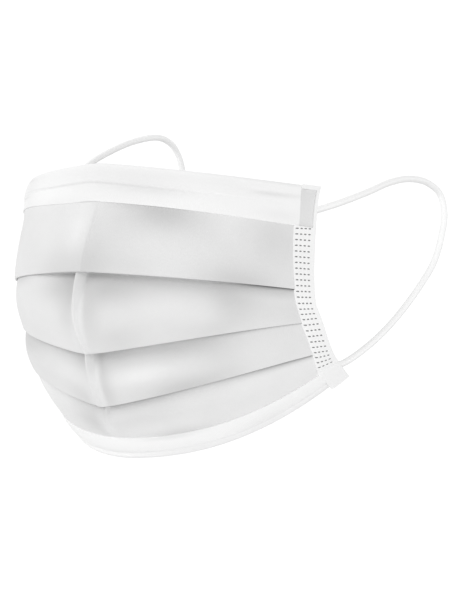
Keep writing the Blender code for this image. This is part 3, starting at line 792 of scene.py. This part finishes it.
tapeLook = Look("tapeCloth")
u, v = tapeLook.flatPlace()[:2]
pitchU, pitchV = sideTape["dotPitch"]
halfU, halfV = sideTape["dotHalf"]
countU, countV = sideTape["dotCount"]
dotU = abs((u / pitchU).fract() - 0.5) * (pitchU / halfU)
dotV = abs((v / pitchV).fract() - 0.5) * (pitchV / halfV)
dotShape = 1.0 - (dotU**3.0 + dotV**3.0).between(*sideTape["dotEdge"])
edge = (-0.01, 0.01)  # a step at nought
dotField = (u.between(*edge) * (1.0 - (u - pitchU * countU).between(*edge))
            * v.between(*edge) * (1.0 - (v - pitchV * countV).between(*edge)))
tapeFibre = tapeLook.noise(*fibreNoise)
tapeLight, tapeDark = (grey(shade) for shade in sideTape["shades"])
tapeCloth = tapeLook.finish(
    Base_Color=tapeLook.blend(dotShape * dotField, tapeLook.blend(tapeFibre * 0.5, tapeLight, tapeDark),
                              grey(sideTape["dotShade"])),
    Roughness=dotShape * dotField * -0.3 + 0.8,
    Normal=tapeLook.bump(tapeFibre, 0.00004, 0.5), **softShine)

def dotDip(u, v):
    # the same dots pressed into the mesh, and a bell-shaped crease across the tape below them
    du = np.abs((u / pitchU) % 1 - 0.5) * pitchU / halfU
    dv = np.abs((v / pitchV) % 1 - 0.5) * pitchV / halfV
    inside = (u > 0) & (u < countU * pitchU) & (v > 0) & (v < countV * pitchV)
    line, wide, deep = sideTape["crease"]
    crease = deep * mm * np.exp(-((v - line) / wide)**2)
    return sideTape["dotDeep"] * (1 - smooth(*sideTape["dotSlope"], du**3 + dv**3)) * inside + crease

def tapeSection(thick):
    # across the tape: outer leg, a flattened half turn |sin|^(1/2), |cos|^(1/2), and the inner leg
    legs = np.linspace(sideTape["innerWay"], sideTape["bendWay"], sideTape["legColumns"])
    legs = np.unique(np.concatenate([legs, [sideTape["windowWay"], sideTape["rimWay"]]]))
    angle = np.linspace(0, np.pi, sideTape["bendColumns"])[1:-1]
    front, back = -sideTape["raise"] + thick, stack + pitch - thick
    middle, radius = (front + back) / 2, (back - front) / 2
    cos = np.cos(angle)
    wide = (sideTape["bendWide"] - thick) / faceShape["halfArc"]
    ways = np.concatenate([legs, sideTape["bendWay"] + wide * np.sin(angle)**0.5, legs[::-1]])
    depths = np.concatenate([np.full(len(legs), front), middle - radius * np.sign(cos) * np.abs(cos)**0.5,
                             np.full(len(legs), back)])
    return ways, depths, len(legs)

def pressedIn(ways, runs):
    # the inner edge is pressed onto the panel, which lies g(1-t)^2 deep below each fold and under the bands
    t = np.clip((runs - rowAt["seam"]) / panelSheet["underRun"], 0, 1)
    hem = rowAt["hem"]
    above, below = sideTape["hemEdge"]
    atHem = (smooth(hem - panelSheet["hemRun"], hem - above, runs)
             * (1 - smooth(hem - above, hem + below, runs)))
    underBand = panelSheet["underBand"] * ((1 - t)**2 * (1 + 2 * t) * (runs > rowAt["seam"]) + atHem)
    deep = 0 * runs
    for part in (1, 2, 3):
        top, foot = rowAt[f"fold{part}"], rowAt["hem" if part == 3 else f"fold{part + 1}"]
        t = np.clip((runs - top) / (panelSheet["forwardShare"][part] * (foot - top)), 0, 1)
        gap = 2 * (panelSheet["edgeRadius"] + panelSheet["turnRadius"]) * (1 - panelSheet["sideFlat"])
        deep = np.where(runs > top, gap * (1 - t)**2 * smooth(0, sideTape["foldRun"], runs - top), deep)
    fade = 1 - smooth(sideTape["innerWay"], sideTape["innerWay"] + sideTape["pressWide"], ways)
    return (sideTape["press"] + deep + underBand) * fade

frontWays, frontDepths, legCount = tapeSection(0.0)
backWays, backDepths, _ = tapeSection(sideTape["thick"])
windowFoot = rowAt["seam"]
lastRun = fullRun + sideTape["tail"]
runs = np.linspace(sideTape["top"], lastRun, sideTape["rows"])
runs = np.unique(np.concatenate([runs, [sideTape["lip"], windowFoot]]))
for side, name in sides:
    line = faceSpot(side * sideTape["middleWay"], runs, -sideTape["raise"])
    down = alongPath(line) / mm
    v = (down - np.interp(windowFoot, runs, down) - sideTape["dotStart"][1])[:, None]
    spreadFrom, spreadShare = sideTape["dotSpread"]
    v = v - spreadShare * np.maximum(v - spreadFrom, 0)
    u = ((frontWays - sideTape["innerWay"]) * faceShape["halfArc"] / mm - sideTape["dotStart"][0])[None, :]
    onLeg = (np.arange(len(frontWays)) < legCount)[None, :]
    narrow = ((sideTape["footNarrow"] * smooth(rowAt["hem"], lastRun, runs))[:, None]
              * (1 - smooth(*sideTape["narrowWays"], frontWays))[None, :])
    v = v + np.interp(v, *sideTape["rowSlant"]) * u
    dip = (dotDip(u, v) + pressedIn(frontWays[None, :], runs[:, None])) * onLeg
    outer = faceSpot(side * (frontWays + narrow), runs[:, None], frontDepths + dip)
    inner = faceSpot(side * (backWays + narrow), runs[:, None], backDepths + dip)
    cellWay = (frontWays[:-1] + frontWays[1:]) / 2
    cellRun = ((runs[:-1] + runs[1:]) / 2)[:, None]
    inWindow = ((cellRun < windowFoot) & (cellRun > sideTape["lip"])
                & (frontWays[1:] < sideTape["rimWay"] + 1e-6)[None, :]
                & (np.arange(len(cellWay)) < legCount - 1)[None, :])
    besideBand = (cellRun < windowFoot) & (cellWay < sideTape["windowWay"])[None, :]
    places = np.stack(np.broadcast_arrays(np.where(onLeg, u, sideTape["offLeg"]), v), -1)
    tape = sheetSolid(f"sideTape_{name}", outer, inner, places, ~(inWindow | besideBand))
    tape.data.materials.append(tapeCloth)
    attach(tape, "root")
    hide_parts(f"side_tape_{name}")
print("side tapes made")

# The nose wire keeps its CAD shape, inside the channel
wireLook = Look("wireMetal")
grain = wireLook.noise(700.0, 3.0, 0.6)
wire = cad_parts["nose_wire"]
wire.data.materials.clear()
wire.data.materials.append(wireLook.finish(
    Base_Color=wireLook.blend(grain, grey(0.62), grey(0.48)), Roughness=grain * 0.2 + 0.25, Metallic=1.0,
    Normal=wireLook.bump(grain, 0.00003, 0.4)))
print("nose wire finished")

# Floor and lights: a pale floor well below, a white room, soft lights from the front and a weak one behind.
# Room is how bright the room lights the mask, and seenRoom how bright the camera sees it. Each light: name,
# place, size and power
studio = {
    "floorDrop": 0.42,
    "floorSize": 1.0,
    "floorCorners": 96,
    "room": 0.65,
    "seenRoom": 1.1,
    "aim": (0, 0.02, -0.045),
    "lights": [
        ("key", (-0.75, -0.75, 0.35), 0.6, 4.4),
        ("fill", (0.95, -0.45, 0.05), 0.6, 2.9),
        ("low", (0.15, -0.75, -0.36), 0.6, 0.5),
        ("back", (-0.25, 0.5, 0.7), 0.6, 1.0),
    ],
}
floorCorners = studio["floorCorners"]
floorAngles = np.linspace(0, 2 * np.pi, floorCorners + 1)[:-1]
floorMesh = bpy.data.meshes.new("floor")
floorPoints = np.stack([np.cos(floorAngles), np.sin(floorAngles), 0 * floorAngles], -1) * studio["floorSize"]
floorMesh.from_pydata((floorPoints + (0, 0, -studio["floorDrop"])).tolist(), [], [list(range(floorCorners))])
floor = bpy.data.objects.new("floor", floorMesh)
bpy.context.scene.collection.objects.link(floor)
floorMesh.materials.append(Look("paleFloor").finish(Base_Color=grey(0.9), Roughness=0.6))

world = bpy.data.worlds.new("room")
bpy.context.scene.world = world
world.use_nodes = True
worldTree = world.node_tree
background = worldTree.nodes["Background"]
background.inputs[0].default_value = grey(1.0)
background.inputs[1].default_value = studio["room"]
white = worldTree.nodes.new("ShaderNodeBackground")
white.inputs[0].default_value = grey(1.0)
white.inputs[1].default_value = studio["seenRoom"]
rays = worldTree.nodes.new("ShaderNodeLightPath")
mixed = worldTree.nodes.new("ShaderNodeMixShader")
worldTree.links.new(rays.outputs["Is Camera Ray"], mixed.inputs[0])
worldTree.links.new(background.outputs[0], mixed.inputs[1])
worldTree.links.new(white.outputs[0], mixed.inputs[2])
worldTree.links.new(mixed.outputs[0], worldTree.nodes["World Output"].inputs[0])

for name, place, size, power in studio["lights"]:
    lightData = bpy.data.lights.new(name, "AREA")
    lightData.shape = "DISK"
    lightData.size = size
    lightData.energy = power
    light = bpy.data.objects.new(name, lightData)
    bpy.context.scene.collection.objects.link(light)
    light.location = place
    light.rotation_euler = (Vector(studio["aim"]) - light.location).to_track_quat("-Z", "Y").to_euler()
bpy.context.scene.view_settings.view_transform = "Standard"
print("studio made")
